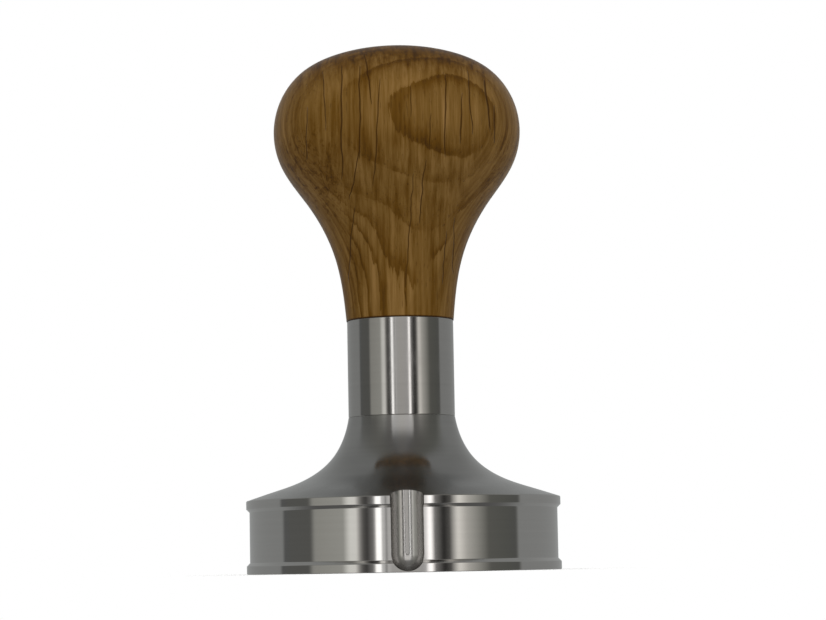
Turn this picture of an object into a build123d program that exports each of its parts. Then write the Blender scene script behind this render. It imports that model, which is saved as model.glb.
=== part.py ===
"""Espresso tamper: a turned oak handle and a steel collar on a one-piece steel base.

The origin is the centre of the flat tamping face, +Z runs up the handle, and the rim's air-relief
groove faces -Y. A threaded stud fixed in the base screws into a brass insert in the handle.
The handle's tenon drops into the collar, and a short spigot on the base centres the collar.
Threads are plain cylinders of the thread's outer diameter.
"""
from build123d import *
import os

os.makedirs("parts", exist_ok=True)

# base, all heights from the tamping face
base_diameter = 58.5
base_height = 28.8
face_edge_break = 0.2
lower_lip_height = 1.4
upper_lip_height = 1.3
rim_height = 13.5
band_depth = 0.6
band_slope_height = 0.75
apron_diameter = 50.0
apron_height = 14.9
sweep_diameter = 38.0
sweep_height = 17.0
throat_diameter = 26.2
throat_height = 21.28
throat_slope = 9
groove_cutter_diameter = 6.0
groove_axis_outset = 0.05
groove_end_height = 0.2

# collar
collar_diameter = 19.9
collar_length = 18.0
collar_edge_break = 0.12
spigot_diameter = 12.0
spigot_length = 1.6
spigot_gap = 0.2
spigot_fit = 0.05

# oak handle, each rise from the level below it
neck_overhang = 0.1
cove_diameter = 24.0
cove_rise = 12.1
flare_diameter = 33.8
flare_rise = 10.0
belly_diameter = 44.2
belly_rise = 8.0
knob_diameter = 46.46
knob_rise = 5.3
shoulder_diameter = 43.7
shoulder_rise = 6.6
crown_diameter = 35.9
crown_rise = 5.0
brow_diameter = 24.6
brow_rise = 2.88
cap_rise = 1.82
neck_slope = 5
tenon_diameter = 16.0
tenon_length = 13.6
tenon_gap = 0.4
tenon_fit = 0.04
tenon_edge_break = 0.4

# brass insert
insert_diameter = 12.0
insert_length = 16.0
insert_fit = 0.02
insert_ring_depth = 0.5
insert_ring_width = 1.4
insert_ring_spacing = 3.0
insert_ring_count = 4
insert_edge_break = 0.4
glue_space = 2.0

# stud and its holes
stud_diameter = 8.0
stud_length = 35.0
stud_depth = 17.4
stud_edge_break = 0.8
stud_socket_width = 4.0
stud_socket_depth = 5.0
thread_fit = 0.05
hole_extra_depth = 1.6
drill_point_height = 2.0
stud_clearance = 0.3

# levels and radii that follow from those sizes
collar_top = base_height + collar_length
spigot_top = base_height + spigot_length
tenon_end = collar_top - tenon_length
stud_end = spigot_top - stud_depth
base_radius = base_diameter / 2
band_radius = base_radius - band_depth
collar_radius = collar_diameter / 2
neck_radius = collar_radius + neck_overhang
tapped_radius = stud_diameter / 2 + thread_fit
socket_radius = tenon_diameter / 2 + tenon_fit
low_to_middle = (Align.CENTER, Align.CENTER, Align.MIN)


def slanted(degrees, outward):
    """The direction of a nearly upright surface that leans out by some degrees from the axis."""
    lean = Vector(0, 1).rotate(Axis.Z, -degrees)
    return lean if outward else -lean


# base: one turning with a recessed band round its rim, a spigot, a tapped hole and the groove
band_floor = lower_lip_height + band_slope_height
band_roof = rim_height - upper_lip_height - band_slope_height

with BuildPart() as base:
    with BuildSketch(Plane.XZ):
        with BuildLine():
            Polyline(
                (0, 0),
                (base_radius - face_edge_break, 0),
                (base_radius, face_edge_break),
                (base_radius, lower_lip_height),
                (band_radius, band_floor),
                (band_radius, band_roof),
                (base_radius, rim_height - upper_lip_height),
                (base_radius, rim_height),
            )
            Spline(
                (base_radius, rim_height),
                (apron_diameter / 2, apron_height),
                (sweep_diameter / 2, sweep_height),
                (throat_diameter / 2, throat_height),
                (collar_radius, base_height),
                tangents=[
                    (apron_diameter / 2 - base_radius, apron_height - rim_height),
                    slanted(-throat_slope, True),
                ],
            )
            Polyline(
                (collar_radius, base_height),
                (spigot_diameter / 2, base_height),
                (spigot_diameter / 2, spigot_top),
                (0, spigot_top),
                (0, 0),
            )
        make_face()
    revolve(axis=Axis.Z)
    with BuildSketch(Plane.XZ):
        with BuildLine():
            hole_end = stud_end - hole_extra_depth
            Polyline(
                (0, spigot_top),
                (tapped_radius, spigot_top),
                (tapped_radius, hole_end),
                (0, hole_end - drill_point_height),
                close=True,
            )
        make_face()
    revolve(axis=Axis.Z, mode=Mode.SUBTRACT)
    groove_radius = groove_cutter_diameter / 2
    groove_axis = base_radius + groove_axis_outset
    with Locations((0, -groove_axis, groove_end_height + groove_radius)):
        Cylinder(groove_radius, base_height, align=low_to_middle, mode=Mode.SUBTRACT)
        Sphere(groove_radius, mode=Mode.SUBTRACT)
base.part.label = "base"
export_step(base.part, "parts/base.step")

# stud: threaded rod with a hexagon socket in its upper end
with BuildPart() as stud:
    with Locations((0, 0, stud_end)):
        Cylinder(stud_diameter / 2, stud_length, align=low_to_middle)
    chamfer(stud.edges().filter_by(GeomType.CIRCLE), stud_edge_break)
    with BuildSketch(Plane.XY.offset(stud_end + stud_length)):
        RegularPolygon(stud_socket_width / 2, 6, major_radius=False)
    extrude(amount=-stud_socket_depth, mode=Mode.SUBTRACT)
stud.part.label = "stud"
export_step(stud.part, "parts/stud.step")

# collar: a tube with a web near its lower end, between the spigot's recess and the tenon's socket
with BuildPart() as collar:
    with Locations((0, 0, base_height)):
        Cylinder(collar_radius, collar_length, align=low_to_middle)
    chamfer(collar.edges().filter_by(GeomType.CIRCLE), collar_edge_break)
    with Locations((0, 0, base_height)):
        Cylinder(
            spigot_diameter / 2 + spigot_fit,
            spigot_length + spigot_gap,
            align=low_to_middle,
            mode=Mode.SUBTRACT,
        )
        Cylinder(
            stud_diameter / 2 + stud_clearance,
            collar_length,
            align=low_to_middle,
            mode=Mode.SUBTRACT,
        )
    with Locations((0, 0, tenon_end - tenon_gap)):
        Cylinder(socket_radius, collar_length, align=low_to_middle, mode=Mode.SUBTRACT)
collar.part.label = "collar"
export_step(collar.part, "parts/collar.step")

# insert: a sleeve with glue rings round it, flush with the tenon's end
with BuildPart() as handle_insert:
    with Locations((0, 0, tenon_end)):
        Cylinder(insert_diameter / 2, insert_length, align=low_to_middle)
        Cylinder(tapped_radius, insert_length, align=low_to_middle, mode=Mode.SUBTRACT)
    chamfer(handle_insert.edges().filter_by(GeomType.CIRCLE), insert_edge_break)
    with BuildSketch(Plane.XZ):
        ring_middle = tenon_end + insert_length / 2
        with Locations((insert_diameter / 2, ring_middle)):
            with GridLocations(0, insert_ring_spacing, 1, insert_ring_count):
                Rectangle(2 * insert_ring_depth, insert_ring_width)
    revolve(axis=Axis.Z, mode=Mode.SUBTRACT)
handle_insert.part.label = "handle_insert"
export_step(handle_insert.part, "parts/handle_insert.step")

# handle: one turned curve from the neck over the knob to the top, on a bored tenon
cove_level = collar_top + cove_rise
flare_level = cove_level + flare_rise
belly_level = flare_level + belly_rise
knob_level = belly_level + knob_rise
shoulder_level = knob_level + shoulder_rise
crown_level = shoulder_level + crown_rise
brow_level = crown_level + brow_rise
cap_level = brow_level + cap_rise

with BuildPart() as oak_handle:
    with BuildSketch(Plane.XZ):
        with BuildLine():
            Spline(
                (neck_radius, collar_top),
                (cove_diameter / 2, cove_level),
                (flare_diameter / 2, flare_level),
                (belly_diameter / 2, belly_level),
                (knob_diameter / 2, knob_level),
                (shoulder_diameter / 2, shoulder_level),
                (crown_diameter / 2, crown_level),
                (brow_diameter / 2, brow_level),
                (0, cap_level),
                tangents=[slanted(neck_slope, True), (-1, 0)],
            )
            Polyline(
                (0, cap_level),
                (0, tenon_end),
                (tenon_diameter / 2 - tenon_edge_break, tenon_end),
                (tenon_diameter / 2, tenon_end + tenon_edge_break),
                (tenon_diameter / 2, collar_top),
                (neck_radius, collar_top),
            )
        make_face()
    revolve(axis=Axis.Z)
    with Locations((0, 0, tenon_end)):
        Cylinder(
            insert_diameter / 2 + insert_fit,
            insert_length + glue_space,
            align=low_to_middle,
            mode=Mode.SUBTRACT,
        )
oak_handle.part.label = "oak_handle"
export_step(oak_handle.part, "parts/oak_handle.step")
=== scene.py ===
"""Dresses the espresso tamper: turned steel base with its milled groove, threaded stud, polished
collar, brass insert and oiled oak handle, on a pale floor in a small studio."""
import math

import bmesh
import bpy
import numpy as np
from mathutils import Matrix, Vector


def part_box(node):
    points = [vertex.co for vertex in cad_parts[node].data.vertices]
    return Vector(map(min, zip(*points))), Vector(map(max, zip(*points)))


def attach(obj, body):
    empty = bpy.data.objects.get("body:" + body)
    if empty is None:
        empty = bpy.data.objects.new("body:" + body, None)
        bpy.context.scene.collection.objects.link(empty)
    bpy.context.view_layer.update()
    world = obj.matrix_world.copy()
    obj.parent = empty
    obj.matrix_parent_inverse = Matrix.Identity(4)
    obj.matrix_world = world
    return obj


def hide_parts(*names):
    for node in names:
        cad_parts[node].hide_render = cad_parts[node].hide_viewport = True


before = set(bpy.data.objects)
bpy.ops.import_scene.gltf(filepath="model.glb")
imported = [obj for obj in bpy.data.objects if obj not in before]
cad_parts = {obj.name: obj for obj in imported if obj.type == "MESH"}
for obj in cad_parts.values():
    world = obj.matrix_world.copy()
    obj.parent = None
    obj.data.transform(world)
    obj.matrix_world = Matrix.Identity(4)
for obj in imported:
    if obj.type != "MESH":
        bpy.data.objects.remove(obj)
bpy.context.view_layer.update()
MM = 0.001


# ---- Base -----------------------------------------------------------------------------------
# One turning of stainless steel bar: a flat face, a rim with two narrow lips and a shallow band
# between them, and a satin cone that sweeps up to the collar's seat and a short spigot. A ball-nose
# cutter has milled the air-relief groove down the rim, and the top is tapped for the stud.
base_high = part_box("base")[1]
collar_low, collar_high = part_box("collar")
rim_radius = base_high[0] / MM
spigot_top = base_high[2] / MM
seat_height = collar_low[2] / MM
collar_radius = collar_high[0] / MM
lip_low_top = 1.55
lip_high_foot = 12.0
rim_top = 13.5
band_depth = 0.6
band_slope = 0.6
foot_break = 0.08
spigot_radius = 6.0
tapped_radius = 4.05
tapped_depth = 19.0
drill_point = 2.0
cutter_radius = 3.0
cutter_path_radius = rim_radius + 0.05
cutter_end = 3.2
rim_break = 0.12
seat_break = 0.08
hole_break = 0.35
cone_foot = rim_top + 0.06
cone_end = (collar_radius + 0.02, seat_height - 0.1)
cone_lean = math.radians(9)
face_rows = 30
cone_rows = 90
closing_rows = 22
groove_columns = 48
base_columns = 336


def spline(points, start, end, count):
    """Smooth curve through the points, with given end directions: on each span a cubic whose ends
    have slopes chosen so that the curvature runs on unbroken, with chord length as its parameter."""
    points = np.array(points, float)
    spans = np.linalg.norm(np.diff(points, axis=0), axis=1)
    places = np.concatenate([[0], np.cumsum(spans)])
    last = len(points) - 1
    system = np.eye(last + 1)
    known = np.zeros_like(points)
    known[0] = np.array(start) / np.linalg.norm(start)
    known[last] = np.array(end) / np.linalg.norm(end)
    for i in range(1, last):
        before, after = spans[i - 1], spans[i]
        system[i, i - 1 : i + 2] = after, 2 * (before + after), before
        known[i] = 3 * (
            after * (points[i] - points[i - 1]) / before + before * (points[i + 1] - points[i]) / after
        )
    slopes = np.linalg.solve(system, known)
    at = np.linspace(0, places[-1], count)
    span = np.clip(np.searchsorted(places, at, side="right") - 1, 0, last - 1)
    width = spans[span][:, None]
    t = (at - places[span])[:, None] / width
    return (
        (2 * t**3 - 3 * t**2 + 1) * points[span]
        + (t**3 - 2 * t**2 + t) * width * slopes[span]
        + (3 * t**2 - 2 * t**3) * points[span + 1]
        + (t**3 - t**2) * width * slopes[span + 1]
    )


def eased(corners, break_radius, steps=5):
    """Outline through the corners with each inner corner rounded: a curve that touches both sides at
    break_radius x tan(half the turn) from the corner, with one more point on each side close by, so
    that the sides stay flat in the shading."""
    corners = np.array(corners, float)
    outline = [corners[:1]]
    for before, corner, after in zip(corners[:-2], corners[1:-1], corners[2:]):
        back = (before - corner) / np.linalg.norm(before - corner)
        on = (after - corner) / np.linalg.norm(after - corner)
        turn = math.pi - math.acos(np.clip(back @ on, -1, 1))
        reach = break_radius * math.tan(turn / 2)
        room = min(np.linalg.norm(before - corner), np.linalg.norm(after - corner))
        reach = min(reach, 0.4 * room)
        t = np.linspace(0, 1, steps)[:, None]
        bend = ((1 - t) ** 2 * (corner + reach * back) + 2 * t * (1 - t) * corner
                + t**2 * (corner + reach * on))
        flat = min(0.03, 0.08 * room)
        outline.append([corner + (reach + flat) * back])
        outline.append(bend)
        outline.append([corner + (reach + flat) * on])
    outline.append(corners[-1:])
    return np.concatenate(outline)


def once_round(columns):
    """Angles once round the Z axis, evenly spaced, that start and end in front."""
    return np.linspace(0, 2 * np.pi, columns + 1) - np.pi / 2


def on_circles(radius, angle, height):
    """Points round the Z axis: the radius times the angle's cosine and sine, at the height."""
    return np.stack([radius * np.cos(angle), radius * np.sin(angle), height + 0 * angle], axis=-1)


def turned(outline, columns):
    """Surface of revolution: each outline point (radius, height) swept once round the Z axis, as a
    grid of rows x columns, with the last column on the first."""
    return on_circles(outline[:, :1], once_round(columns), outline[:, 1:])


def new_object(name, data):
    """A new object at the origin that holds the mesh, lamp or camera, linked into the scene."""
    made = bpy.data.objects.new(name, data)
    bpy.context.collection.objects.link(made)
    return made


def build(name, patches, sharp=28):
    """One closed mesh from grids of points in millimetres, each with its material's number. Grid
    borders that meet are welded, and edges that turn by more than sharp degrees stay crisp."""
    weld = 2e-7
    points, faces, slots, first = [], [], [], 0
    for grid, number in patches:
        rows, columns = grid.shape[:2]
        at = first + np.arange(rows * columns).reshape(rows, columns)
        quads = np.stack([at[:-1, :-1], at[:-1, 1:], at[1:, 1:], at[1:, :-1]], axis=-1)
        faces.append(quads.reshape(-1, 4))
        slots.append(np.full(len(faces[-1]), number))
        points.append(grid.reshape(-1, 3) * MM)
        first += rows * columns
    mesh = bpy.data.meshes.new(name)
    mesh.from_pydata(np.concatenate(points), [], np.concatenate(faces))
    mesh.polygons.foreach_set("material_index", np.concatenate(slots).astype(np.int32))
    work = bmesh.new()
    work.from_mesh(mesh)
    bmesh.ops.remove_doubles(work, verts=work.verts, dist=weld)
    bmesh.ops.recalc_face_normals(work, faces=work.faces)
    work.to_mesh(mesh)
    work.free()
    mesh.shade_smooth()
    mesh.set_sharp_from_angle(angle=math.radians(sharp))
    return new_object(name, mesh)


def base_outline():
    """Half-section of the base from the rim's foot to the collar's seat, always rising: the two lips
    and the band as straight runs with eased corners, then the cone's smooth sweep."""
    floor = rim_radius - band_depth
    rim = eased(
        [
            (rim_radius - foot_break, 0.0),
            (rim_radius, foot_break),
            (rim_radius, lip_low_top),
            (floor, lip_low_top + band_slope),
            (floor, lip_high_foot - band_slope),
            (rim_radius, lip_high_foot),
            (rim_radius, rim_top - 0.1),
            (rim_radius - rim_break, rim_top + 0.05),
        ],
        rim_break,
    )
    through = [
        (rim_radius, rim_top), (25.0, 14.9), (19.0, 17.0), (13.1, 21.28), (collar_radius, seat_height),
    ]
    sweep = spline(
        through,
        np.subtract(through[1], through[0]),
        (-math.sin(cone_lean), math.cos(cone_lean)),
        cone_rows,
    )
    sweep = sweep[sweep[:, 1] > cone_foot]
    return np.concatenate([rim, sweep[:-1], [cone_end]])


def cutter_reach(height):
    """Radius of the ball-nose cutter at a height: full above its ball's centre, a circle's arc below."""
    below = np.clip(cutter_end - height, 0, cutter_radius)
    return np.sqrt(np.maximum(cutter_radius**2 - below**2, 0))


outline = base_outline()
groove_foot = cutter_end - math.sqrt(cutter_radius**2 - (cutter_path_radius - rim_radius) ** 2)
breakout_radius = cutter_path_radius - cutter_radius
cone_part = outline[outline[:, 1] > rim_top][::-1]
groove_top = np.interp(breakout_radius, cone_part[:, 0], cone_part[:, 1])
# rows that close up towards both ends of the groove, where its edge turns fastest
closing = 1 - np.cos(np.linspace(0, np.pi / 2, closing_rows))
heights = np.concatenate([
    outline[:, 1],
    groove_foot + (cutter_end - groove_foot) * closing,
    groove_top - (groove_top - rim_top) * closing,
])
heights = np.unique(np.round(heights, 7))
radii = np.interp(heights, outline[:, 1], outline[:, 0])
reach = cutter_reach(heights)
# half the angle that the groove takes out of the turned skin at each height, by the cosine rule
half_gap = np.arccos(np.clip(
    (radii**2 + cutter_path_radius**2 - reach**2) / (2 * radii * cutter_path_radius), -1, 1))
across = np.linspace(0, 1, base_columns + 1)
angle = half_gap[:, None] + across * (2 * np.pi - 2 * half_gap[:, None]) - np.pi / 2
skin = on_circles(radii[:, None], angle, heights[:, None])
# the cutter's wall at the same heights, out to where it meets the skin, by the same rule
tiny = 1e-6
inside = (heights >= groove_foot - tiny) & (heights <= groove_top + tiny)
wall_reach = np.maximum(reach[inside], tiny)
half_wall = np.arccos(np.clip(
    (cutter_path_radius**2 + wall_reach**2 - radii[inside] ** 2) / (2 * cutter_path_radius * wall_reach),
    -1, 1))
sweep_angle = half_wall[:, None] * np.linspace(-1, 1, groove_columns + 1)
groove = np.stack(
    [
        wall_reach[:, None] * np.sin(sweep_angle),
        wall_reach[:, None] * np.cos(sweep_angle) - cutter_path_radius,
        heights[inside][:, None] + 0 * sweep_angle,
    ],
    axis=-1,
)
rim_rows = int(np.searchsorted(heights, rim_top))
face_radii = np.linspace(0, rim_radius - foot_break, face_rows)
face_outline = np.stack([face_radii, np.zeros(face_rows)], axis=-1)
top_outline = eased(
    [
        cone_end,
        (collar_radius - seat_break, seat_height),
        (spigot_radius, seat_height),
        (spigot_radius, spigot_top),
        (tapped_radius + hole_break, spigot_top),
        (tapped_radius, spigot_top - hole_break),
        (tapped_radius, spigot_top - tapped_depth),
        (0, spigot_top - tapped_depth - drill_point),
    ],
    seat_break,
)
RIM, CONE, FACE, GROOVE, HOLE = range(5)
base = build(
    "turned_base",
    [
        (turned(face_outline, base_columns), FACE),
        (skin[: rim_rows + 1], RIM),
        (skin[rim_rows:], CONE),
        (groove, GROOVE),
        (turned(top_outline, base_columns), HOLE),
    ],
)
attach(base, "base")
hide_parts("base")


def node(tree, kind, inputs=(), **settings):
    """Adds a shader node. settings are its properties. inputs maps socket names or numbers to a value,
    or to another node's socket, which is linked."""
    made = tree.nodes.new(kind)
    for name, value in settings.items():
        setattr(made, name, value)
    for name, value in dict(inputs).items():
        if isinstance(value, bpy.types.NodeSocket):
            tree.links.new(value, made.inputs[name])
        else:
            made.inputs[name].default_value = value
    return made


def maths(tree, operation, *values):
    """A Math node's result: operation on one, two or three numbers or sockets."""
    made = node(tree, "ShaderNodeMath", enumerate(values), operation=operation)
    return made.outputs[0]


def vector_maths(tree, operation, *values):
    """A Vector Math node's result: a number for a length or a dot product, or else a vector."""
    made = node(tree, "ShaderNodeVectorMath", enumerate(values), operation=operation)
    return made.outputs["Value" if operation in ("LENGTH", "DOT_PRODUCT") else "Vector"]


def ramp(tree, factor, stops):
    """A Color Ramp's colour: stops are (place, colour or grey level)."""
    made = node(tree, "ShaderNodeValToRGB", {0: factor})
    elements = made.color_ramp.elements
    while len(elements) < len(stops):
        elements.new(0.5)
    for element, (place, colour) in zip(elements, stops):
        element.position = place
        element.color = (*colour, 1) if np.iterable(colour) else (colour, colour, colour, 1)
    return made.outputs[0]


def blended(tree, factor, one, other):
    """Mix of two colours by a factor."""
    made = node(tree, "ShaderNodeMix", {0: factor, 6: one, 7: other}, data_type="RGBA")
    return made.outputs[2]


def new_material(name):
    """A new material, its node tree and its Principled shader."""
    material = bpy.data.materials.new(name)
    material.use_nodes = True
    return material, material.node_tree, material.node_tree.nodes["Principled BSDF"]


def millimetres(tree):
    """Object coordinates, counted in millimetres."""
    place = node(tree, "ShaderNodeTexCoord").outputs["Object"]
    return node(tree, "ShaderNodeVectorMath", {0: place, "Scale": 1 / MM}, operation="SCALE").outputs[0]


def group(name, inputs, outputs):
    """A new shader node group with named inputs, as (name, socket type, default), and outputs."""
    tree = bpy.data.node_groups.new(name, "ShaderNodeTree")
    for label, kind, default in inputs:
        socket = tree.interface.new_socket(label, in_out="INPUT", socket_type=kind)
        if default is not None:
            socket.default_value = default
    for label, kind in outputs:
        tree.interface.new_socket(label, in_out="OUTPUT", socket_type=kind)
    return tree, tree.nodes.new("NodeGroupInput").outputs, tree.nodes.new("NodeGroupOutput").inputs


def turning_marks():
    """Fine rings left by the lathe tool: noise that is drawn out round the Z axis, because it is read
    at (radius, height) finely and at the direction's cosine and sine coarsely."""
    tree, given, result = group(
        "turning marks",
        [("Vector", "NodeSocketVector", None), ("Pitch mm", "NodeSocketFloat", 0.1),
         ("Waver", "NodeSocketFloat", 1.0)],
        [("Height", "NodeSocketFloat"), ("Shade", "NodeSocketFloat")],
    )
    off_axis = 1e-5
    coarse_scale = 0.13
    place = node(tree, "ShaderNodeSeparateXYZ", {0: given["Vector"]}).outputs
    flat = node(tree, "ShaderNodeCombineXYZ", {0: place[0], 1: place[1]}).outputs[0]
    radius = vector_maths(tree, "LENGTH", flat)
    pitch = maths(tree, "MULTIPLY", given["Pitch mm"], MM)
    across_marks = maths(tree, "DIVIDE", radius, pitch)
    up_marks = maths(tree, "DIVIDE", place[2], pitch)
    cosine = maths(tree, "DIVIDE", place[0], maths(tree, "ADD", radius, off_axis))
    sine = maths(tree, "DIVIDE", place[1], maths(tree, "ADD", radius, off_axis))
    at = node(tree, "ShaderNodeCombineXYZ", {
        0: across_marks, 1: up_marks, 2: maths(tree, "MULTIPLY", cosine, given["Waver"])}).outputs[0]
    fine = node(tree, "ShaderNodeTexNoise", {
        "Vector": at, "W": maths(tree, "MULTIPLY", sine, given["Waver"]), "Scale": 1.0, "Detail": 3.0,
        "Roughness": 0.6}, noise_dimensions="4D").outputs[0]
    coarse = node(tree, "ShaderNodeTexNoise", {
        "Vector": at, "W": sine, "Scale": coarse_scale, "Detail": 2.0}, noise_dimensions="4D").outputs[0]
    tree.links.new(fine, result["Height"])
    tree.links.new(coarse, result["Shade"])
    return tree


def handling():
    """Faint smears and dust specks from use: soft cloudy noise for the smears, and a few small round
    specks where a cell's centre is very close."""
    tree, given, result = group(
        "handling marks",
        [("Vector", "NodeSocketVector", None)],
        [("Smear", "NodeSocketFloat"), ("Speck", "NodeSocketFloat")],
    )
    smears_per_metre = 90.0
    specks_per_metre = 330.0
    cloud = node(tree, "ShaderNodeTexNoise", {
        "Vector": given["Vector"], "Scale": smears_per_metre, "Detail": 4.0, "Roughness": 0.55,
        "Distortion": 0.6}).outputs[0]
    smear = ramp(tree, cloud, [(0.42, 0.0), (0.72, 1.0)])
    cell = node(tree, "ShaderNodeTexVoronoi", {
        "Vector": given["Vector"], "Scale": specks_per_metre}).outputs[0]
    speck = ramp(tree, cell, [(0.0, 1.0), (0.07, 0.0)])
    tree.links.new(smear, result["Smear"])
    tree.links.new(speck, result["Speck"])
    return tree


marks_group = turning_marks()
handling_group = handling()


def steel(name, colour, rough, pitch, bump, stretch, waver=1.0, smear=0.05):
    """Turned stainless steel. Roughness is three quarters of rough, and up to half of it more on the
    lathe rings, plus the smears. The anisotropy, stretch, draws the highlight out across the rings,
    and the rings also stand as a fine bump. Pitch and bump are in millimetres."""
    dust = (0.3, 0.29, 0.27)
    dust_share = 0.12
    dark = tuple(0.95 * part for part in colour)
    material, tree, shader = new_material(name)
    place = node(tree, "ShaderNodeTexCoord").outputs["Object"]
    marks = node(tree, "ShaderNodeGroup", {"Vector": place, "Pitch mm": pitch, "Waver": waver},
                 node_tree=marks_group)
    hands = node(tree, "ShaderNodeGroup", {"Vector": place}, node_tree=handling_group)
    shade = ramp(tree, marks.outputs["Shade"], [(0.3, 0.0), (0.7, 1.0)])
    tint = blended(tree, shade, (*dark, 1), (*colour, 1))
    specks = maths(tree, "MULTIPLY", hands.outputs["Speck"], dust_share)
    tree.links.new(blended(tree, specks, tint, (*dust, 1)), shader.inputs["Base Color"])
    roughness = maths(tree, "MULTIPLY_ADD", marks.outputs["Height"], 0.5 * rough, 0.75 * rough)
    roughness = maths(tree, "MULTIPLY_ADD", hands.outputs["Smear"], smear, roughness)
    tree.links.new(roughness, shader.inputs["Roughness"])
    shader.inputs["Metallic"].default_value = 1.0
    shader.inputs["Anisotropic"].default_value = stretch
    shader.inputs["Anisotropic Rotation"].default_value = 0.25
    around = node(tree, "ShaderNodeTangent", direction_type="RADIAL", axis="Z").outputs[0]
    tree.links.new(around, shader.inputs["Tangent"])
    relief = node(tree, "ShaderNodeBump", {
        "Strength": 1.0, "Distance": bump * MM, "Height": marks.outputs["Height"]}).outputs[0]
    tree.links.new(relief, shader.inputs["Normal"])
    return material


def painted_groove_reflection(material):
    """Painted reflection: a fine dark line round a slim upright slot in the middle of the groove, near
    its ball end: the difference between the distance to the slot's middle line and reflection_radius is small
    there."""
    reflection_radius = 0.33
    reflection_foot = 3.45
    reflection_width = 0.1
    reflection_colour = (0.08, 0.078, 0.075)
    tree = material.node_tree
    colour = tree.nodes["Principled BSDF"].inputs["Base Color"]
    place = node(tree, "ShaderNodeSeparateXYZ", {0: millimetres(tree)}).outputs
    under = maths(tree, "MAXIMUM", maths(tree, "SUBTRACT", reflection_foot, place[2]), 0.0)
    off = vector_maths(tree, "LENGTH", node(tree, "ShaderNodeCombineXYZ", {0: place[0], 2: under}).outputs[0])
    off = maths(tree, "ABSOLUTE", maths(tree, "SUBTRACT", off, reflection_radius))
    line = ramp(tree, maths(tree, "DIVIDE", off, reflection_width), [(0.4, 0.6), (1.0, 0.0)])
    with_reflection = blended(tree, line, colour.links[0].from_socket, (*reflection_colour, 1))
    tree.links.new(with_reflection, colour)


steel_colour = (0.50, 0.49, 0.475)
rim_steel = steel("polished_rim", steel_colour, 0.055, 0.12, 0.0003, 0.6)
cone_steel = steel("satin_cone", (0.35, 0.345, 0.335), 0.14, 0.09, 0.0005, 0.93)
face_steel = steel("faced_bottom", steel_colour, 0.2, 0.16, 0.003, 0.6)
groove_steel = steel("milled_groove", steel_colour, 0.19, 0.3, 0.0004, 0.0, waver=8.0)
hole_steel = steel("machined_seat", steel_colour, 0.26, 0.2, 0.002, 0.3)
# painted reflection: a fine dark line near the groove's ball end
painted_groove_reflection(groove_steel)
for finish in (rim_steel, cone_steel, face_steel, groove_steel, hole_steel):
    base.data.materials.append(finish)


# ---- Stud -----------------------------------------------------------------------------------
# A bought M8 threaded rod with a hexagon socket in its top, screwed and locked into the base.
# It shows only when the handle is unscrewed.
stud_low, stud_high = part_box("stud")
stud_foot, stud_top = stud_low[2] / MM, stud_high[2] / MM
stud_radius = 3.95
thread_pitch = 1.25
thread_depth = 0.65
rows_per_pitch = 14
stud_end_break = 0.8
socket_flat = 2.0
socket_break = 0.15
socket_depth = 5.0
socket_point = 0.8
stud_columns = 72


def threaded(foot, top, crest, columns):
    """Threaded rod: at each angle and height the radius falls from the crest to the root and back
    once per pitch, as a clipped triangle wave of height / pitch - turns, and 45 degrees at the ends."""
    height = np.linspace(foot, top, int((top - foot) / thread_pitch * rows_per_pitch))[:, None]
    angle = once_round(columns)
    phase = (height / thread_pitch - (angle + np.pi / 2) / (2 * np.pi)) % 1
    flank = np.abs(2 * phase - 1)
    steepness, crest_width = 1.25, 0.1
    radius = crest - thread_depth * np.clip(steepness * (1 - flank) - crest_width, 0, 1)
    ends = crest - stud_end_break + np.minimum(height - foot, top - height)
    return on_circles(np.minimum(radius, ends), angle, height)


def hexagon_socket(top, rim, columns):
    """End face and socket: a circle joined to a hexagon, whose radius at an angle is its flat's
    distance over the cosine of the angle from that flat, then walls down and a shallow drill point."""
    angle = once_round(columns)
    flat = socket_flat / np.cos((angle % (np.pi / 3)) - np.pi / 6)
    rings = [(rim, top), (flat + socket_break, top), (flat, top - socket_break),
             (flat, top - socket_depth), (0, top - socket_depth - socket_point)]
    return np.array([on_circles(radius, angle, height) for radius, height in rings])


thread = threaded(stud_foot, stud_top, stud_radius, stud_columns)
foot_cap = np.stack([thread[0] * (1, 1, 0) * k + (0, 0, stud_foot) for k in (0.0, 1.0)])
stud = build("threaded_stud", [
    (foot_cap, 0), (thread, 0),
    (hexagon_socket(stud_top, stud_radius - stud_end_break, stud_columns), 0),
], sharp=50)
stud.data.materials.append(steel("rolled_stud", (0.40, 0.40, 0.41), 0.3, 0.3, 0.002, 0.0))
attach(stud, "base")
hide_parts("stud")


# ---- Collar ---------------------------------------------------------------------------------
# A ferrule turned from 20 mm bar and polished. It sits on the base's spigot and takes the handle's
# tenon from above, with a web between them that the stud passes through.
collar_foot, collar_top = collar_low[2] / MM, collar_high[2] / MM
tenon_depth = 14.0
tenon_socket = 8.04
spigot_recess = 1.8
spigot_socket = 6.05
web_hole = 4.3
edge_break = 0.12
collar_colour = (0.44, 0.43, 0.415)
collar_columns = 256
collar_outline = eased(
    [
        (collar_radius, (collar_foot + collar_top) / 2),
        (collar_radius, collar_top),
        (tenon_socket, collar_top),
        (tenon_socket, collar_top - tenon_depth),
        (web_hole, collar_top - tenon_depth),
        (web_hole, collar_foot + spigot_recess),
        (spigot_socket, collar_foot + spigot_recess),
        (spigot_socket, collar_foot),
        (collar_radius, collar_foot),
        (collar_radius, (collar_foot + collar_top) / 2),
    ],
    edge_break,
)
collar = build("polished_collar", [(turned(collar_outline, collar_columns), 0)])
collar.data.materials.append(steel("polished_collar", collar_colour, 0.09, 0.1, 0.0003, 0.6, smear=0.1))
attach(collar, "collar")
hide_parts("collar")


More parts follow.
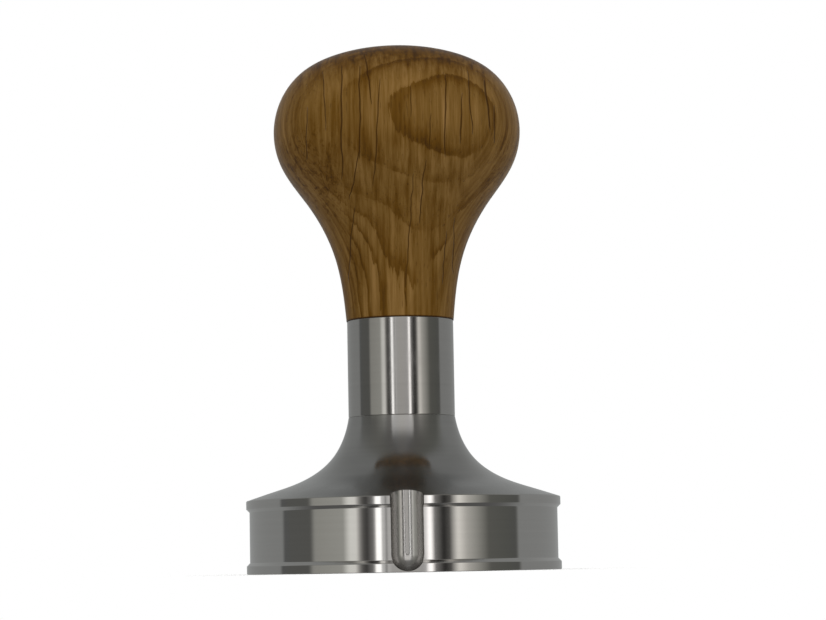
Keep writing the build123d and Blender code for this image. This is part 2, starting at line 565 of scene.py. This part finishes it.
# ---- Insert ---------------------------------------------------------------------------------
# A brass sleeve with glue rings, set in the tenon. The frame's own piece stays, because its shape
# is right; it only gets its metal here.
def brass():
    """Machined brass: warm metal, with the lathe rings in its roughness and a dull tarnish cloud."""
    material = steel("machined_brass", (0.72, 0.50, 0.22), 0.25, 0.2, 0.002, 0.0)
    material.node_tree.nodes["Principled BSDF"].inputs["Specular Tint"].default_value = (1, 0.9, 0.7, 1)
    return material


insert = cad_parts["handle_insert"]
insert.data.materials.clear()
insert.data.materials.append(brass())


# ---- Handle ---------------------------------------------------------------------------------
# Turned oak, oiled and waxed: one sweep from the neck over the knob, on a tenon that is hidden in
# the collar and bored for the insert. The grain runs up the handle, and the tree's heart lay behind.
handle_low, handle_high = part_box("oak_handle")
tenon_foot = handle_low[2] / MM
knob_top = handle_high[2] / MM
neck_radius = collar_radius + 0.1
tenon_radius = 8.0
bore_radius = 6.02
bore_depth = 18.0
neck_lean = math.radians(5)
neck_break = 0.1
handle_rows = 240
handle_columns = 256
handle_curve = spline(
    [(neck_radius, collar_top), (12.0, 58.9), (16.9, 68.9), (22.1, 76.9), (23.23, 82.2),
     (21.85, 88.8), (17.95, 93.8), (12.3, 96.68), (0, knob_top)],
    (math.sin(neck_lean), math.cos(neck_lean)),
    (-1, 0),
    handle_rows,
)
handle_outline = np.concatenate([
    handle_curve[::-1][:-1],
    eased([(neck_radius + 0.005, collar_top + 0.06), (neck_radius - 0.05, collar_top),
           (tenon_radius, collar_top), (tenon_radius, tenon_foot),
           (bore_radius, tenon_foot), (bore_radius, tenon_foot + bore_depth),
           (0, tenon_foot + bore_depth)], neck_break),
])
handle = build("oak_handle_turned", [(turned(handle_outline, handle_columns), 0)])
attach(handle, "handle")
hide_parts("oak_handle")


def fade(tree, value, start, end):
    """Smooth rise from 0 at start to 1 at end, which is a fall where end is the lower."""
    made = node(tree, "ShaderNodeMapRange", {0: value, 1: start, 2: end}, interpolation_type="SMOOTHSTEP")
    return made.outputs[0]


def grain_lines():
    """Thin dark lines drawn out along the grain: cells of the given size, each with a spindle round
    its centre, where the distance in cell sizes is under Thickness."""
    tree, given, result = group(
        "grain lines",
        [("Vector", "NodeSocketVector", None), ("Cell mm", "NodeSocketVector", (1, 1, 20)),
         ("Thickness", "NodeSocketFloat", 0.1)],
        [("Mask", "NodeSocketFloat")],
    )
    cells = vector_maths(tree, "DIVIDE", given["Vector"], given["Cell mm"])
    nearest = node(tree, "ShaderNodeTexVoronoi", {"Vector": cells, "Scale": 1.0, "Randomness": 1.0})
    share = maths(tree, "DIVIDE", nearest.outputs[0], given["Thickness"])
    tree.links.new(fade(tree, share, 1.0, 0.5), result["Mask"])
    return tree


def drying_check():
    """One hairline along the grain between two points of the front: how far a place stands to the side
    of the straight line between them, as a share of half the hairline's width, which tapers to both
    ends by a power of 4 x climb x (1 - climb). It is there in front of the axis only."""
    taper_power = 0.4
    narrowest = 1e-4
    edge = (1.3, 0.45)
    tree, given, result = group(
        "drying check",
        [("Vector", "NodeSocketVector", None), ("Foot", "NodeSocketVector", None),
         ("Head", "NodeSocketVector", None), ("Width mm", "NodeSocketFloat", 0.3)],
        [("Mask", "NodeSocketFloat")],
    )
    at = node(tree, "ShaderNodeSeparateXYZ", {0: given["Vector"]}).outputs
    foot = node(tree, "ShaderNodeSeparateXYZ", {0: given["Foot"]}).outputs
    head = node(tree, "ShaderNodeSeparateXYZ", {0: given["Head"]}).outputs
    climb = maths(tree, "DIVIDE", maths(tree, "SUBTRACT", at[2], foot[2]),
                  maths(tree, "SUBTRACT", head[2], foot[2]))
    line = maths(tree, "MULTIPLY_ADD", maths(tree, "SUBTRACT", head[0], foot[0]), climb, foot[0])
    aside = maths(tree, "ABSOLUTE", maths(tree, "SUBTRACT", at[0], line))
    taper = maths(tree, "MULTIPLY", climb, maths(tree, "SUBTRACT", 1.0, climb))
    taper = maths(tree, "MAXIMUM", maths(tree, "MULTIPLY", taper, 4.0), 0.0)
    taper = maths(tree, "POWER", taper, taper_power)
    front = maths(tree, "LESS_THAN", at[1], 0.0)
    half = maths(tree, "MULTIPLY", maths(tree, "MULTIPLY", given["Width mm"], 0.5), taper)
    half = maths(tree, "MULTIPLY_ADD", half, front, narrowest)
    tree.links.new(fade(tree, maths(tree, "DIVIDE", aside, half), *edge), result["Mask"])
    return tree


def oiled_oak():
    """Oak cut from a solid block: year rings by distance from the tree's heart, bent by slow noise and
    a few swells, with coarse pores where each ring starts, drying checks, flecks and fine fibres."""
    heart_azimuth = math.radians(11)
    heart_distance = 40.0
    # where each year begins, in millimetres in front of the axis, from the back of the knob to its
    # front, and the swells that bend the years: azimuth, height, rise, breadth and length
    years = [-24, -20.9, -17.8, -14, -11.6, -8.2, -5.5, -2.6, 0.6, 3.4, 5.6, 7.5, 8.9, 10.35, 11.6, 13.7,
             19.3, 23.2, 28.0]
    swells = [(38, 82, 4.2, 10.9, 13), (-12, 66, -1.4, 5, 5), (0, 46, 1.5, 20, 14)]
    # where the rings show clearest: azimuth, height, half breadth and half length
    clear_patches = [(16, 84.2, 11.5, 8.6), (-25, 54, 6, 9)]
    # painted shade on the knob's lower side, in the first two, and darker strokes in the neck's grain, in the
    # last two: azimuth, height, half breadth, half length and depth
    painted_shade_and_dark_strokes = [
        (-42, 75.5, 9, 6, 0.2), (8, 77.2, 12, 3.0, 0.25), (-43, 57.5, 1.8, 6.5, 0.22),
        (-21, 58.5, 1.3, 5, 0.14),
    ]
    # how light the parts of a year are, and the oak's colour from its darkest to its palest place
    dark, middle, pale = 0.64, 1.0, 1.22
    oak_colours = [
        (0.3, (0.040, 0.0155, 0.0005)), (0.65, (0.088, 0.038, 0.0016)), (1.0, (0.133, 0.0685, 0.0132)),
        (1.5, (0.204, 0.113, 0.033)), (2.0, (0.27, 0.153, 0.05)),
    ]
    pore = (0.032, 0.012, 0.0008)
    # how far noise moves a ring in millimetres: slow bends, short ones, and the ragged edge that pores
    # and fibres give it
    slow_bend, short_bend, ragged_edge = 0.8, 0.35, 0.4
    # how much the rings fade where they are cut edge on, and how little in the clear patches
    edge_on_fade, clear_fade = 0.65, 0.1
    # how much these lighten or darken the wood, and the heights between which some of them come in
    fibre_share, streak_share, short_streak_share, cloud_share = 0.32, 0.5, 0.38, 0.14
    fleck_share, low_fleck_share, low_cheek_height = 0.1, 0.26, 73.0
    # the crown's darkening is partly the oil that end grain drinks and partly painted shade on the knob's top
    crown_oil_and_shade_depth, crown_patches, crown_rise = 0.52, 0.42, (87.0, 96.5)
    # painted shade in the neck's hollow under the knob, darker from 80 mm down to 68 mm and below
    neck_shade_depth, neck_shade_rise = 0.06, (80.0, 68.0)
    # how dark the lines in the wood are, next to a drying check
    pore_share, stray_share, hairline_share = 0.45, 0.35, 0.8
    # how far the drying checks wander aside, in millimetres
    check_wander = 0.7
    # how dark a drying check is, and the shadow in the joint with the collar
    check_depth, joint_depth = 0.85, 0.95
    # the oiled skin's roughness, what a line adds and a smear takes away, and the relief's height in
    # millimetres with the fibres' share in it
    skin_roughness, line_roughness, smear_gloss = 0.52, 0.2, 0.07
    relief_height, fibre_relief = 0.05, 0.12
    # hairlines: width, then across and height of the foot, and of the head
    checks = [
        (0.34, -10.5, 71.5, -10.2, 92.5), (0.30, -7.5, 74.5, -6.9, 92.0), (0.22, -9.2, 68.0, -7.4, 76.5),
        (0.20, -9.8, 53.5, -8.3, 66.8), (0.26, -5.0, 84.0, -6.0, 94.6), (0.24, -4.9, 70.0, -3.3, 89.0),
        (0.16, 2.0, 81.5, 2.1, 87.5), (0.16, 5.4, 75.8, 5.8, 82.3), (0.28, 8.3, 74.6, 8.7, 90.0),
        (0.22, 11.1, 77.2, 11.6, 86.5), (0.22, 13.1, 79.0, 12.8, 91.5), (0.46, 16.5, 80.2, 15.9, 90.0),
        (0.26, 17.3, 78.0, 17.7, 85.0), (0.18, -13.4, 80.0, -13.5, 91.8), (0.20, -17.0, 75.5, -16.8, 85.0),
        (0.22, 3.6, 63.5, 4.7, 74.2), (0.20, 1.1, 55.0, 2.7, 72.0), (0.18, 9.7, 55.0, 10.2, 65.0),
        (0.18, 8.0, 53.0, 8.6, 62.5),
    ]

    material, tree, shader = new_material("oiled_oak")
    at = millimetres(tree)
    up = node(tree, "ShaderNodeSeparateXYZ", {0: at}).outputs[2]

    def noise(cell, detail, roughness=0.5, distortion=0.0):
        """Noise from -1 to 1 with features of the given size in millimetres."""
        value = node(tree, "ShaderNodeTexNoise", {
            "Vector": vector_maths(tree, "DIVIDE", at, cell), "Scale": 1.0, "Detail": detail,
            "Roughness": roughness, "Distortion": distortion}).outputs[0]
        return maths(tree, "MULTIPLY_ADD", value, 2.0, -1.0)

    def lines(cell, thickness, vector=at):
        """One family of grain lines."""
        return node(tree, "ShaderNodeGroup", {"Vector": vector, "Cell mm": cell, "Thickness": thickness},
                    node_tree=grain_group).outputs[0]

    def deeper(grooves, mask, share):
        """The darker of two kinds of line, the second at its share of full depth."""
        return maths(tree, "MAXIMUM", grooves, maths(tree, "MULTIPLY", mask, share))

    def on_skin(azimuth, height):
        """The point of the handle's skin at an azimuth to the right of the front and a height."""
        out = float(np.interp(height, handle_curve[:, 1], handle_curve[:, 0]))
        return (out * math.sin(math.radians(azimuth)), -out * math.cos(math.radians(azimuth)), height)

    def off_spot(azimuth, height, breadth, length):
        """How far a place lies from a point of the skin, in half breadths and half lengths."""
        off = vector_maths(tree, "SUBTRACT", at, on_skin(azimuth, height))
        return vector_maths(tree, "DIVIDE", off, (breadth, breadth, length))

    def bell(*spot):
        """Bell curve round a point of the skin: e to the power of minus the squared distance from it."""
        off = off_spot(*spot)
        far = vector_maths(tree, "DOT_PRODUCT", off, off)
        return maths(tree, "EXPONENT", maths(tree, "MULTIPLY", far, -1.0))

    # distance from the heart, less that of the handle's axis
    outward = (math.sin(heart_azimuth), -math.cos(heart_azimuth), 0.0)
    heart = [-heart_distance * part for part in outward]
    away = vector_maths(tree, "MULTIPLY", vector_maths(tree, "SUBTRACT", at, heart), (1, 1, 0))
    grown = maths(tree, "SUBTRACT", vector_maths(tree, "LENGTH", away), heart_distance)
    for azimuth, height, rise, breadth, length in swells:
        grown = maths(tree, "MULTIPLY_ADD", bell(azimuth, height, breadth, length), rise, grown)
    grown = maths(tree, "MULTIPLY_ADD", noise((13, 13, 20), 1.0), slow_bend, grown)
    grown = maths(tree, "MULTIPLY_ADD", noise((2.6, 2.6, 9), 1.0), short_bend, grown)
    grown = maths(tree, "MULTIPLY_ADD", noise((0.5, 2.5, 6), 2.0, 0.6), ragged_edge, grown)
    # the years behind a place, as a share of them all: a curve that rises evenly from year to year
    curve = node(tree, "ShaderNodeFloatCurve")
    spread = years[-1] - years[0]
    tree.links.new(maths(tree, "MULTIPLY_ADD", grown, 1 / spread, -years[0] / spread), curve.inputs["Value"])
    points = curve.mapping.curves[0].points
    shares = np.linspace(0, 1, len(years))
    for start, share in zip(years[1:-1], shares[1:-1]):
        points.new((start - years[0]) / spread, share)
    for point in points:
        point.handle_type = "VECTOR"
    curve.mapping.update()
    season = maths(tree, "FRACT", maths(tree, "MULTIPLY", curve.outputs[0], len(years) - 1.0))

    early = ramp(tree, season, [(0.0, 0.5), (0.04, 1.0), (0.25, 0.6), (0.5, 0.1), (0.93, 0.0), (1.0, 0.4)])
    tone = ramp(tree, season, [(0.0, dark), (0.08, dark), (0.28, middle), (0.6, pale), (0.95, pale),
                               (1.0, middle)])
    # the rings show in patches, clear on two of them and faint where they are cut edge on
    level = vector_maths(tree, "NORMALIZE", vector_maths(tree, "MULTIPLY", at, (1, 1, 0)))
    facing = maths(tree, "ABSOLUTE", vector_maths(tree, "DOT_PRODUCT", level, outward))
    faint = fade(tree, noise((6, 6, 10), 3.0), -0.4, 0.3)
    edge_on = maths(tree, "MULTIPLY", fade(tree, facing, 0.85, 0.45), edge_on_fade)
    faint = maths(tree, "MAXIMUM", faint, edge_on)
    for patch in clear_patches:
        outside = fade(tree, vector_maths(tree, "LENGTH", off_spot(*patch)), 1.05, 1.35)
        left = maths(tree, "MULTIPLY_ADD", outside, 1 - clear_fade, clear_fade)
        faint = maths(tree, "MULTIPLY", faint, left)
    tone = maths(tree, "MULTIPLY_ADD", faint, maths(tree, "SUBTRACT", middle, tone), tone)
    across = maths(tree, "ABSOLUTE", node(tree, "ShaderNodeSeparateXYZ", {0: level}).outputs[0])
    sideways = maths(tree, "MULTIPLY", fade(tree, across, 0.6, 0.8), fade(tree, up, 92.0, 84.0))

    def sheets(thin, deep, long, detail, roughness=0.5):
        """Noise in upright sheets: thin from left to right in front, behind and on the crown, and thin
        from front to back on the sides, so that its streaks run up the handle all the way round."""
        front = noise((thin, deep, long), detail, roughness)
        side = noise((deep, thin, long), detail, roughness)
        return maths(tree, "MULTIPLY_ADD", sideways, maths(tree, "SUBTRACT", side, front), front)

    fibre = sheets(0.28, 1.6, 9, 3.0, 0.75)
    shade = maths(tree, "MULTIPLY_ADD", fibre, fibre_share, 1.0)
    shade = maths(tree, "MULTIPLY_ADD", sheets(1.1, 6, 26, 2.0), streak_share, shade)
    shade = maths(tree, "MULTIPLY_ADD", sheets(0.55, 3, 16, 2.0), short_streak_share, shade)
    shade = maths(tree, "MULTIPLY_ADD", noise((4, 4, 14), 2.0), cloud_share, shade)

    # rays cut along their faces show as flecks on the cheeks, and most where the knob narrows
    cheek = fade(tree, facing, 0.85, 0.5)
    fleck = fade(tree, noise((1.6, 1.6, 2.0), 3.0, 0.65, distortion=1.5), -0.02, 0.22)
    from_low_cheek = maths(tree, "ABSOLUTE", maths(tree, "SUBTRACT", up, low_cheek_height))
    low_cheek = fade(tree, from_low_cheek, 9.0, 4.0)
    fleck_depth = maths(tree, "MULTIPLY_ADD", low_cheek, low_fleck_share, fleck_share)
    fleck = maths(tree, "MULTIPLY", maths(tree, "MULTIPLY", fleck, fleck_depth), cheek)
    shade = maths(tree, "SUBTRACT", shade, fleck)
    # the knob's crown is end grain, which drinks more oil, in patches, and its darkening is deepened as
    # painted shade on the knob's top
    patches = maths(tree, "MULTIPLY_ADD", noise((1.2, 1.2, 2.6), 3.0, 0.6), crown_patches, -crown_oil_and_shade_depth)
    shade = maths(tree, "MULTIPLY_ADD", fade(tree, up, *crown_rise), patches, shade)
    # painted shade on the knob's lower side, and darker strokes in the neck's grain
    for *cloud, depth in painted_shade_and_dark_strokes:
        shade = maths(tree, "MULTIPLY_ADD", bell(*cloud), -depth, shade)
    # painted shade in the neck's hollow under the knob
    shade = maths(tree, "MULTIPLY_ADD", fade(tree, up, *neck_shade_rise), -neck_shade_depth, shade)
    lightness = maths(tree, "MULTIPLY", tone, shade)
    lightest = oak_colours[-1][0]
    tone = ramp(tree, maths(tree, "MULTIPLY", lightness, 1 / lightest),
                [(light / lightest, tint) for light, tint in oak_colours])

    pores = maths(tree, "MULTIPLY", lines((0.45, 0.45, 5.0), 0.32), early)
    grooves = deeper(maths(tree, "MULTIPLY", pores, pore_share), lines((0.75, 0.75, 9.0), 0.15), stray_share)
    aside = maths(tree, "MULTIPLY", noise((6, 6, 7), 2.0), check_wander)
    bent = vector_maths(tree, "ADD", at, node(tree, "ShaderNodeCombineXYZ", {0: aside}).outputs[0])
    grooves = deeper(grooves, lines((2.4, 2.4, 34.0), 0.06, bent), hairline_share)
    for width, foot_across, foot_height, head_across, head_height in checks:
        check = node(tree, "ShaderNodeGroup", {
            "Vector": bent, "Foot": (foot_across, 0, foot_height), "Head": (head_across, 0, head_height),
            "Width mm": width}, node_tree=check_group).outputs[0]
        grooves = maths(tree, "MAXIMUM", grooves, check)
    tone = blended(tree, maths(tree, "MULTIPLY", grooves, check_depth), tone, (*pore, 1))
    joint = fade(tree, up, collar_top + 0.35, collar_top + 0.1)
    tone = blended(tree, maths(tree, "MULTIPLY", joint, joint_depth), tone, (*pore, 1))
    tree.links.new(tone, shader.inputs["Base Color"])

    place = node(tree, "ShaderNodeTexCoord").outputs["Object"]
    hands = node(tree, "ShaderNodeGroup", {"Vector": place}, node_tree=handling_group)
    roughness = maths(tree, "MULTIPLY_ADD", grooves, line_roughness, skin_roughness)
    roughness = maths(tree, "MULTIPLY_ADD", hands.outputs["Smear"], -smear_gloss, roughness)
    tree.links.new(roughness, shader.inputs["Roughness"])
    height = maths(tree, "MULTIPLY_ADD", fibre, fibre_relief, maths(tree, "MULTIPLY", grooves, -1.0))
    relief = node(tree, "ShaderNodeBump", {
        "Strength": 1.0, "Distance": relief_height * MM, "Height": height}).outputs[0]
    tree.links.new(relief, shader.inputs["Normal"])
    shader.inputs["IOR"].default_value = 1.45
    shader.inputs["Specular IOR Level"].default_value = 0.09
    shader.inputs["Sheen Weight"].default_value = 0.17
    shader.inputs["Sheen Roughness"].default_value = 0.25
    return material


grain_group = grain_lines()
check_group = drying_check()
handle.data.materials.append(oiled_oak())


# ---- Floor ----------------------------------------------------------------------------------
# A plain pale sheet that the tamper stands on. It keeps the shadow round the foot, and farther out
# it runs over into the white backdrop.
floor_size = 3.0
floor_colour = (0.93, 0.93, 0.93, 1)
floor_roughness = 0.9
# strength that lifts the floor near the foot, and where it starts and ends to turn plain white
floor_lift = 0.2
white_from, white_full = 0.03, 0.055
floor_mesh = bpy.data.meshes.new("floor")
corners = [(x * floor_size, y * floor_size, 0) for x, y in ((-1, -1), (1, -1), (1, 1), (-1, 1))]
floor_mesh.from_pydata(corners, [], [(0, 1, 2, 3)])
floor = new_object("floor", floor_mesh)
floor.visible_glossy = False
floor_paint, tree, sheet = new_material("pale_floor")
sheet.inputs["Base Color"].default_value = floor_colour
sheet.inputs["Roughness"].default_value = floor_roughness
out = vector_maths(tree, "LENGTH", node(tree, "ShaderNodeTexCoord").outputs["Object"])
seen = node(tree, "ShaderNodeLightPath").outputs["Is Camera Ray"]
white_seen = maths(tree, "MULTIPLY", fade(tree, out, white_from, white_full), seen)
white = node(tree, "ShaderNodeEmission", {0: (1, 1, 1, 1), 1: 1.0}).outputs[0]
lift_seen = maths(tree, "MULTIPLY", seen, floor_lift)
lift = node(tree, "ShaderNodeEmission", {0: (1, 1, 1, 1), 1: lift_seen}).outputs[0]
near = node(tree, "ShaderNodeAddShader", {0: sheet.outputs[0], 1: lift}).outputs[0]
mixed = node(tree, "ShaderNodeMixShader", {0: white_seen, 1: near, 2: white}).outputs[0]
tree.links.new(mixed, tree.nodes["Material Output"].inputs["Surface"])
floor_mesh.materials.append(floor_paint)


# ---- Studio ---------------------------------------------------------------------------------
# A grey room with white strips, pale walls and black flags standing round the tamper, as the steel
# sees them, and soft boxes for the wood. Each level and tint stands at its azimuth in degrees,
# counted from the camera to its right.
camera_place = Vector((-10.44, -479.9, 1.44)) * MM
camera_azimuth = math.atan2(camera_place.x, -camera_place.y)
walls = [
    (-101.5, 0.37), (-98.5, 0.16), (-72.5, 0.155), (-68.5, 0.45), (-45, 0.52), (-40, 1.12), (-35.2, 1.12),
    (-31.8, 0.34), (-29.5, 0.15), (-27, 0.075), (-25, 0.16), (-21.4, 0.33), (-19.7, 2.1), (-16.9, 2.2),
    (-16.1, 0.9), (-14.2, 0.86), (-12.7, 0.38), (-11, 0.85), (-9, 0.62), (13.5, 0.6), (16.4, 0.85),
    (17.2, 2.2), (20, 2.2), (21.9, 0.33), (28.9, 0.03), (33.8, 0.14), (40, 1.22), (47, 0.7),
    (58, 0.37), (65, 0.17), (91, 0.14), (94, 0.37),
]
upper_walls = [
    (-180, 0.37), (-150, 0.4), (-101, 0.42), (-96, 0.26), (-75, 0.215), (-61, 0.24), (-50, 0.36),
    (-40, 0.47), (-31, 0.35), (-24, 0.35), (-21, 1.35), (-16, 1.0), (14, 1.0), (20.5, 1.35), (26, 0.3),
    (31, 0.3), (41, 0.45), (52, 0.32), (64, 0.215), (80, 0.21), (89, 0.33), (94, 0.42), (150, 0.4),
    (180, 0.37),
]
ceiling = [
    (-180, 0.05), (-172, 0.08), (-164, 0.32), (-115, 0.38), (-92, 0.32), (-80, 0.27), (-60, 0.25),
    (-25, 0.19), (-12, 0.25), (12, 0.25), (25, 0.19), (60, 0.21), (80, 0.22), (92, 0.3), (115, 0.38),
    (164, 0.32), (172, 0.08), (180, 0.05),
]
tints = [
    (-96, (0.975, 1.0, 0.995)), (-92, (0.985, 1.0, 0.955)), (-74, (0.99, 1.0, 0.95)),
    (-66, (1.005, 1.0, 0.93)), (-46, (1.0, 1.0, 0.935)), (-38, (1.0, 1.0, 0.96)),
    (-29, (1.03, 1.0, 0.96)), (-18, (1.0, 1.0, 1.0)), (0, (1.025, 1.0, 0.965)),
    (18, (1.02, 1.0, 1.0)), (29, (1.025, 1.0, 0.96)), (45, (1.025, 1.0, 0.94)),
    (62, (1.0, 1.0, 0.92)), (80, (0.98, 1.0, 0.92)), (90, (0.985, 1.0, 0.95)), (95, (0.98, 1.0, 0.995)),
]
strongest_tint = 1.03
brightest = 2.2
ground_grey = 0.15
# where one part of the room runs over into the next: as the sine of the elevation, or in turns away
# from straight ahead
ground_fade = (-0.6, -0.85)
upper_fade = (0.05, 0.38)
ceiling_fade = (0.36, 0.8)
backdrop_sides = (0.474, 0.481)
backdrop_top, backdrop_foot = (0.1, 0.03), (-0.1, -0.03)
window_middle = 0.5 + 2 / 360
window_sides = (0.071, 0.063)
window_top, window_foot = (0.76, 0.48), (0.3, 0.5)
world = bpy.data.worlds.new("studio")
bpy.context.scene.world = world
world.use_nodes = True
tree = world.node_tree
tree.nodes.clear()
way = node(tree, "ShaderNodeSeparateXYZ", {0: node(tree, "ShaderNodeTexCoord").outputs["Generated"]}).outputs
azimuth = maths(tree, "ARCTAN2", way[0], maths(tree, "MULTIPLY", way[1], -1.0))
turns = maths(tree, "MULTIPLY_ADD", azimuth, 1 / (2 * math.pi), 0.5 - camera_azimuth / (2 * math.pi))


def round_the_room(stops, strongest):
    """Colour ramp by azimuth once round the room, with its values as shares of the strongest."""
    return ramp(tree, turns, [((place + 180) / 360, np.divide(value, strongest)) for place, value in stops])


def panel(middle, sides, top, foot):
    """Where a part of the walls shows: near its middle in turns, and between its foot and its top."""
    aside = maths(tree, "ABSOLUTE", maths(tree, "SUBTRACT", turns, middle))
    shown = maths(tree, "MULTIPLY", fade(tree, aside, *sides), fade(tree, way[2], *top))
    return maths(tree, "MULTIPLY", shown, fade(tree, way[2], *foot))


ground = (ground_grey / brightest / strongest_tint,) * 3 + (1,)
paper = (1 / brightest,) * 3 + (1,)
backdrop_seen = panel(0.5, backdrop_sides, backdrop_top, backdrop_foot)
room = blended(tree, backdrop_seen, round_the_room(walls, brightest), paper)
room = blended(tree, fade(tree, way[2], *upper_fade), room, round_the_room(upper_walls, brightest))
room = blended(tree, fade(tree, way[2], *ceiling_fade), room, round_the_room(ceiling, brightest))
# the window behind the camera stands higher than the walls
window_seen = panel(window_middle, window_sides, window_top, window_foot)
room = blended(tree, window_seen, room, paper)
room = vector_maths(tree, "MULTIPLY", room, round_the_room(tints, strongest_tint))
room = blended(tree, fade(tree, way[2], *ground_fade), room, ground)
seen = node(tree, "ShaderNodeLightPath").outputs["Is Camera Ray"]
room_light = node(tree, "ShaderNodeBackground", {0: room, 1: brightest * strongest_tint}).outputs[0]
backdrop = node(tree, "ShaderNodeBackground", {0: (1, 1, 1, 1), 1: 1.0}).outputs[0]
mixed = node(tree, "ShaderNodeMixShader", {0: seen, 1: room_light, 2: backdrop}).outputs[0]
tree.links.new(mixed, node(tree, "ShaderNodeOutputWorld").inputs["Surface"])


def soft_box(name, place, size, power):
    """A square lamp aimed at the middle of the tamper, soft because it is large, and kept out of the
    steel's reflections, where the room's own strips and flags show."""
    lamp = bpy.data.lights.new(name, "AREA")
    lamp.size = size
    lamp.energy = power
    box = new_object(name, lamp)
    box.location = place
    box.rotation_euler = (tamper_middle - Vector(place)).to_track_quat("-Z", "Y").to_euler()
    box.visible_glossy = False
    box.visible_camera = False


tamper_middle = Vector((0, 0, 0.06))
soft_box("front_left_box", (-0.7, -1.0, 0.9), 0.9, 8.1)
soft_box("front_right_box", (0.9, -0.8, 0.8), 0.9, 6.4)
soft_box("top_box", (0.0, 0.2, 1.3), 1.2, 6.8)


# ---- Camera ---------------------------------------------------------------------------------
# Just above the level of the tamper's foot and half a metre in front, looking slightly up with a
# long lens. It is turned a little to the side and tilted by a degree.
heading = math.radians(-1.54)
pitch = math.radians(5.646)
roll = math.radians(-1.051)
lens = bpy.data.cameras.new("camera")
lens.sensor_width = 36.0
lens.lens = 111.97
lens.clip_start = 0.01
camera = new_object("camera", lens)
camera.matrix_world = (
    Matrix.Translation(camera_place)
    @ Matrix.Rotation(heading, 4, "Z")
    @ Matrix.Rotation(math.pi / 2 + pitch, 4, "X")
    @ Matrix.Rotation(roll, 4, "Z")
)
bpy.context.scene.camera = camera
bpy.context.scene.view_settings.view_transform = "Standard"
